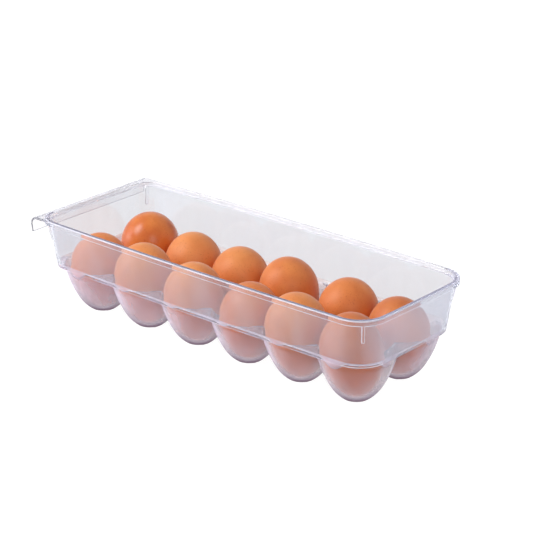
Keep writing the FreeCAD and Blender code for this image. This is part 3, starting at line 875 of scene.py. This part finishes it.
def moulding_finishes():
    """The looks of the clear moulding, in the order WALL, CUP, FILLET, LIP, GLINT, SHADE, PALE."""
    return [wall_plastic(), cup_plastic(), fillet_plastic(), lip_plastic(), edge_glint(), edge_shade(),
            rim_pale_painted_light()]


# ---------------------------------------------------------------- egg shell
PAINTED_SHADE_COLOUR = srgb(208, 98, 43)  # painted shade, strongest toward the pointed end
PAINTED_SHADE_HEIGHTS = (58 * MM, 25 * MM)
PAINTED_SHADE_AMOUNT = 0.65
FRECKLE_COLOUR = srgb(165, 74, 30)
FRECKLE_AMOUNT = 0.45
FRECKLE_SPAN = (0.6, 0.75)       # the peaks of the noise that show as freckles
BLOTCH_SPAN = (0.3, 0.65)
BLOTCH_SCALE = 60.0
FRECKLE_SCALE = 900.0
PORE_SCALE = 1800.0
PORE_STRENGTH = 0.12
PORE_DEPTH = 0.0004              # metres


def egg_shell(name, base, dark, roughness):
    """Brown egg shell: cloudy tint with painted shade darkening it toward the pointed end, fine darker
    freckles and pores.
    """
    material, shader, add, links = new_material(name)
    where = add("ShaderNodeTexCoord").outputs["Object"]
    blotch = ramp(add, noise(add, where, BLOTCH_SCALE, detail=4.0), BLOTCH_SPAN)
    tint = blend(add, blotch, dark, base)
    height = add("ShaderNodeSeparateXYZ", {"Vector": where}).outputs["Z"]
    # painted shade: the colour darkens toward the pointed end, which sits low in the cups
    depth = ramp(add, height, PAINTED_SHADE_HEIGHTS, (0.0, PAINTED_SHADE_AMOUNT))
    tint = blend(add, depth, tint, PAINTED_SHADE_COLOUR)
    grain = noise(add, where, FRECKLE_SCALE, detail=2.0)
    fleck = ramp(add, grain, FRECKLE_SPAN, (0.0, FRECKLE_AMOUNT))
    speckled = blend(add, fleck, tint, FRECKLE_COLOUR)
    links.new(speckled, shader.inputs["Base Color"])
    set_inputs(shader, {"Roughness": roughness, "Specular IOR Level": 0.35, "Sheen Weight": 0.2,
                        "Sheen Roughness": 0.4, "Subsurface Weight": 0.15,
                        "Subsurface Radius": (0.004, 0.0018, 0.001), "Subsurface Scale": 1.0})
    pores = noise(add, where, PORE_SCALE, detail=2.0)
    bump(add, shader, links, pores, PORE_STRENGTH, PORE_DEPTH)
    return material


def egg_shells():
    """The four shells that the dozen eggs share."""
    return {
        "tan": egg_shell("egg_tan", srgb(232, 148, 82), srgb(220, 132, 68), 0.5),
        "brown": egg_shell("egg_brown", srgb(226, 136, 70), srgb(211, 117, 56), 0.48),
        "russet": egg_shell("egg_russet", srgb(215, 127, 66), srgb(200, 108, 52), 0.48),
        "glossy": egg_shell("egg_glossy", srgb(225, 132, 62), srgb(201, 101, 42), 0.24),
    }


# ---------------------------------------------------------------- eggs
EGG_RINGS = 40
EGG_SIDES = 64
SHELL_OF = {
    "front": ["brown", "tan", "tan", "brown", "tan", "russet"],
    "back": ["glossy", "tan", "tan", "brown", "brown", "russet"],
}


def egg_mesh(width, height):
    """An egg with its blunt end up, its widest girth at z = 0: returns it with the depth of its point."""
    maker = MeshMaker()
    root = height - EGG_CROWN
    loops = []
    for k in range(1, EGG_RINGS):
        turn = math.pi * (k / EGG_RINGS) - math.pi / 2
        z = (EGG_CROWN if turn > 0 else root) * math.sin(turn)
        radius = width / 2 * math.cos(turn)
        angles = [2 * math.pi * j / EGG_SIDES for j in range(EGG_SIDES)]
        loops.append([maker.vertex((radius * math.cos(a), radius * math.sin(a), z)) for a in angles])
    low = maker.vertex((0, 0, -root))
    high = maker.vertex((0, 0, EGG_CROWN))
    for j in range(EGG_SIDES):
        after = (j + 1) % EGG_SIDES
        maker.face((low, loops[0][after], loops[0][j]))
        maker.face((high, loops[-1][j], loops[-1][after]))
    for a, b in zip(loops, loops[1:]):
        maker.strip(a, b)
    return maker, root


def build_egg(row, place, material):
    """One egg in its cup, leaning as it lies, riding on its own body."""
    name = f"egg_{row}_{place + 1}"
    width_scale, height_scale, lean, heading = EGGS[row][place]
    maker, root = egg_mesh(EGG_WIDTH * width_scale, EGG_HEIGHT * height_scale)
    direction = math.radians(heading)
    tilt = Matrix.Rotation(math.radians(lean), 4, Vector((-math.sin(direction), math.cos(direction), 0)))
    pivot = Vector((*cup_centre(ROWS[row], place), SKIN + EGG_GAP + EGG_PIVOT))
    place_it = Matrix.Translation(pivot) @ tilt @ Matrix.Translation((0, 0, root - EGG_PIVOT))
    maker.points = [tuple(place_it @ Vector(point)) for point in maker.points]
    egg = maker.build(f"shell_{name}")
    egg.data.materials.append(material)
    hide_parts(name)
    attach(egg, f"{name}_body")


# ---------------------------------------------------------------- the tray and its eggs
SHARP_ANGLE = 35                 # degrees; blunter edges are shaded smooth


def build_tray():
    """The moulding: bin, lip and ribs as one skin that stands for all the tray's nodes."""
    parts = [build_bin(), build_lip()] + [build_rib(kind) for kind in CORNERS]
    finishes = moulding_finishes()
    for part in parts:
        for finish in finishes:
            part.data.materials.append(finish)
    tray = joined(parts[0], parts[1:])
    tray.data.set_sharp_from_angle(angle=math.radians(SHARP_ANGLE))
    tray_nodes = [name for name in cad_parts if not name.startswith("egg_")]
    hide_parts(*tray_nodes)
    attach(tray, "tray")


def build_eggs():
    """The dozen eggs, each with its shell."""
    shells = egg_shells()
    for row in ROWS:
        for place, shade in enumerate(SHELL_OF[row]):
            build_egg(row, place, shells[shade])


# ---------------------------------------------------------------- floor, lights and camera
FLOOR_REACH = 3.0                # metres each way
FLOOR_DROP = 0.0002              # metres; keeps it clear of the feet
FLOOR_GLOW = 0.96                # makes it as white as the photograph's background
AIM_HEIGHT = 0.04                # metres; what the lamps point at


def build_floor():
    """A white floor far larger than the view."""
    mesh = bpy.data.meshes.new("floor")
    corners = [(x * FLOOR_REACH, y * FLOOR_REACH, 0) for x, y in ((-1, -1), (1, -1), (1, 1), (-1, 1))]
    mesh.from_pydata(corners, [], [(0, 1, 2, 3)])
    floor = bpy.data.objects.new("floor", mesh)
    bpy.context.scene.collection.objects.link(floor)
    material, shader = new_material("floor")[:2]
    set_inputs(shader, {"Base Color": (0.12, 0.12, 0.12, 1), "Roughness": 0.9,
                        "Emission Color": (1, 1, 1, 1), "Emission Strength": FLOOR_GLOW})
    floor.data.materials.append(material)
    floor.location.z = -FLOOR_DROP


def add_light(name, location, size, power, colour=(1, 1, 1)):
    """A square lamp that points at the middle of the tray: sizes in metres, power in watts."""
    data = bpy.data.lights.new(name, "AREA")
    data.shape = "SQUARE"
    data.size = size
    data.energy = power
    data.color = colour
    light = bpy.data.objects.new(name, data)
    light.location = location
    heading = Vector((0, 0, AIM_HEIGHT)) - Vector(location)
    light.rotation_euler = heading.to_track_quat("-Z", "Y").to_euler()
    bpy.context.scene.collection.objects.link(light)


def build_world():
    """The even light of the studio."""
    world = bpy.data.worlds.new("studio")
    bpy.context.scene.world = world
    world.use_nodes = True
    set_inputs(world.node_tree.nodes["Background"], {"Color": (0.62, 0.62, 0.7, 1), "Strength": 0.8})


CAMERA_AZIMUTH = 40.68           # degrees from the front, toward +X
CAMERA_ELEVATION = 21.74
CAMERA_ROLL = 0.11
CAMERA_DISTANCE = 1502.4         # from the aim, the rim's middle, with steps to the side and up
CAMERA_SIDE = 15.28
CAMERA_RISE = -15.60
CAMERA_LENS = 137.82
SENSOR_WIDTH = 36
CLIP_END = 20                    # metres


def build_camera():
    """The camera as it was solved from the photograph."""
    azimuth = math.radians(CAMERA_AZIMUTH)
    elevation = math.radians(CAMERA_ELEVATION)
    back = Vector((math.sin(azimuth) * math.cos(elevation), -math.cos(azimuth) * math.cos(elevation),
                   math.sin(elevation)))
    right = Vector((math.cos(azimuth), math.sin(azimuth), 0))
    up = back.cross(right)
    roll = math.radians(CAMERA_ROLL)
    right_rolled = right * math.cos(roll) + up * math.sin(roll)
    up_rolled = up * math.cos(roll) - right * math.sin(roll)
    aim = Vector((ORIGIN_SHIFT, 0, TOTAL_HEIGHT))
    centre = (aim + back * CAMERA_DISTANCE + right * CAMERA_SIDE + up * CAMERA_RISE) * MM
    data = bpy.data.cameras.new("camera")
    data.lens = CAMERA_LENS
    data.sensor_width = SENSOR_WIDTH
    data.clip_end = CLIP_END
    camera = bpy.data.objects.new("camera", data)
    turn = Matrix((right_rolled, up_rolled, back)).transposed().to_4x4()
    camera.matrix_world = Matrix.Translation(centre) @ turn
    bpy.context.scene.collection.objects.link(camera)
    bpy.context.scene.camera = camera


build_tray()
build_eggs()
build_floor()
build_world()
add_light("key", (-0.9, -0.9, 1.3), size=0.9, power=20)
add_light("side", (-1.3, -0.7, 0.3), size=0.8, power=8, colour=(0.96, 0.97, 1))
add_light("fill", (1.2, -0.9, 0.8), size=0.7, power=4)
build_camera()
bpy.context.scene.view_settings.view_transform = "Standard"
